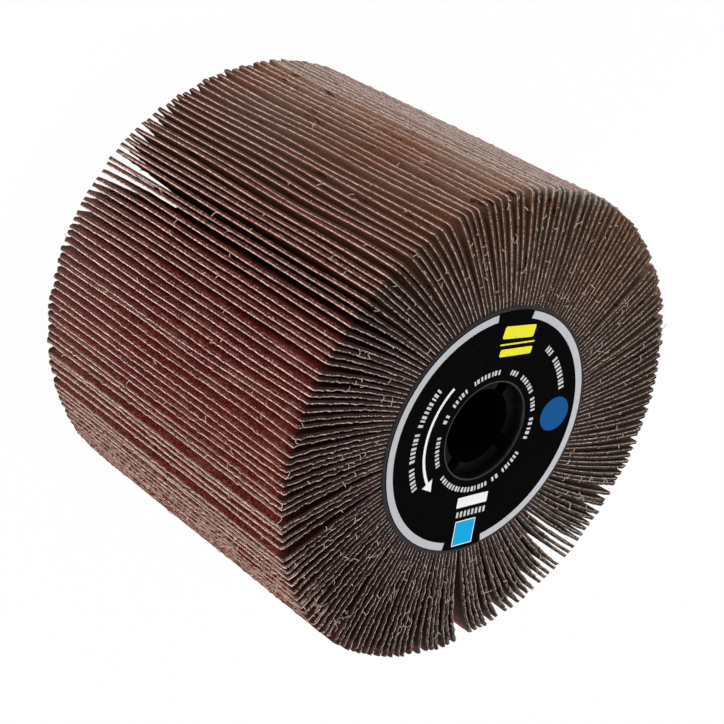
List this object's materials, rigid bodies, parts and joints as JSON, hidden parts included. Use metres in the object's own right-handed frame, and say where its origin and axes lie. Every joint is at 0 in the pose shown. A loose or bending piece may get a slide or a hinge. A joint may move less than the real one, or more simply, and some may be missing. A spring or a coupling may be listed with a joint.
{
  "type": "flap wheel",
  "caption": "Drum-shaped abrasive wheel with leaning radial cloth flaps round a keyed arbor bore, held between two flat flanges.",
  "frame": {"origin": "on the axis at the outer face of the rear flange, which the wheel stands on", "axes": "+Z along the bore axis towards the printed front flange; the keyways lie on X and Y"},
  "size_m": [0.1198, 0.1199, 0.0973],
  "materials": {
    "abrasive_cloth": "cotton cloth, brown on the back, dark red abrasive grain on the face",
    "hub_plastic": "moulded black plastic",
    "bonding_resin": "hard dark brown resin",
    "flange_lacquer": "satin black lacquer",
    "label_print": "printed film, black with a light grey ring and plain bars"
  },
  "bodies": {
    "root": {"hub_core": "hub_plastic", "resin_ring": "bonding_resin", "rear_flange": "flange_lacquer", "front_flange": "flange_lacquer", "front_label": "label_print", "flap_pack_01": "abrasive_cloth", "flap_pack_02": "abrasive_cloth", "flap_pack_03": "abrasive_cloth", "flap_pack_04": "abrasive_cloth", "flap_pack_05": "abrasive_cloth", "flap_pack_06": "abrasive_cloth", "flap_pack_07": "abrasive_cloth", "flap_pack_08": "abrasive_cloth", "flap_pack_09": "abrasive_cloth", "flap_pack_10": "abrasive_cloth", "flap_pack_11": "abrasive_cloth", "flap_pack_12": "abrasive_cloth", "flap_pack_13": "abrasive_cloth", "flap_pack_14": "abrasive_cloth", "flap_pack_15": "abrasive_cloth", "flap_pack_16": "abrasive_cloth", "flap_pack_17": "abrasive_cloth", "flap_pack_18": "abrasive_cloth", "flap_pack_19": "abrasive_cloth", "flap_pack_20": "abrasive_cloth", "flap_pack_21": "abrasive_cloth", "flap_pack_22": "abrasive_cloth", "flap_pack_23": "abrasive_cloth", "flap_pack_24": "abrasive_cloth", "flap_pack_25": "abrasive_cloth", "flap_pack_26": "abrasive_cloth", "flap_pack_27": "abrasive_cloth", "flap_pack_28": "abrasive_cloth", "flap_pack_29": "abrasive_cloth", "flap_pack_30": "abrasive_cloth", "flap_pack_31": "abrasive_cloth", "flap_pack_32": "abrasive_cloth", "flap_pack_33": "abrasive_cloth", "flap_pack_34": "abrasive_cloth", "flap_pack_35": "abrasive_cloth", "flap_pack_36": "abrasive_cloth"}
  },
  "joints": []
}
